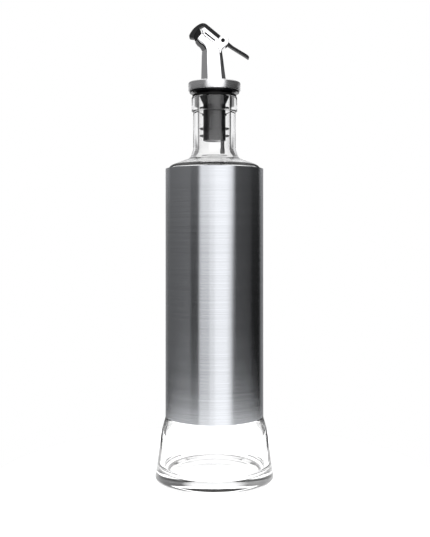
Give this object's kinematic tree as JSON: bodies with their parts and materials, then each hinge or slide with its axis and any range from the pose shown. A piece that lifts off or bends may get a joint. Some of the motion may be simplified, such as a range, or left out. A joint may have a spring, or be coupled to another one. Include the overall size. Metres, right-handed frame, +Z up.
{
  "type": "oil bottle with lever pourer",
  "caption": "Tall clear glass oil bottle with a flared base and a brushed steel sleeve, closed by a pull-out stopper whose bent metal spout opens when its black lever is pressed.",
  "frame": {"origin": "centre of the glass base's resting ring, on the surface it stands on", "axes": "+Z up along the bottle's axis; the spout pours towards -X and the thumb end of the lever points to +X"},
  "size_m": [0.0766, 0.0766, 0.2928],
  "materials": {
    "clear_glass": "clear, polished",
    "brushed_sleeve": "brushed round the bottle",
    "tape": "double-sided foam tape",
    "stopper_plastic": "soft, moulded",
    "washer_rubber": "smooth",
    "polished_cap": "satin to polished",
    "polished_spout": "polished",
    "vent_plastic": "extruded",
    "vent_tip_plastic": "moulded",
    "pin_plastic": "moulded",
    "spring_steel": "drawn wire",
    "lever_plastic": "fine moulded grain",
    "plug_rubber": "smooth"
  },
  "bodies": {
    "bottle": {"glass_bottle": "clear_glass", "steel_sleeve": "brushed_sleeve", "lower_tape_band": "tape", "upper_tape_band": "tape"},
    "pourer": {"stopper": "stopper_plastic", "sealing_washer": "washer_rubber", "cap_shell": "polished_cap", "spout_body": "polished_spout", "vent_tube": "vent_plastic", "vent_tip": "vent_tip_plastic", "pivot_pin": "pin_plastic", "return_spring": "spring_steel"},
    "lever": {"lever": "lever_plastic", "mouth_plug": "plug_rubber"}
  },
  "joints": [
    {"name": "pourer_pull", "type": "slide", "parent": "bottle", "child": "pourer", "axis": [0, 0, 1], "range_m": [0, 0.045]},
    {"name": "lever_press", "type": "hinge", "parent": "pourer", "child": "lever", "pos_m": [0.0055, 0, 0.28135], "axis": [0, 1, 0], "range_deg": [0, 25], "stiffness_Nm_per_rad": 0.02, "springref_deg": -34.38, "deforming": ["return_spring"]}
  ]
}
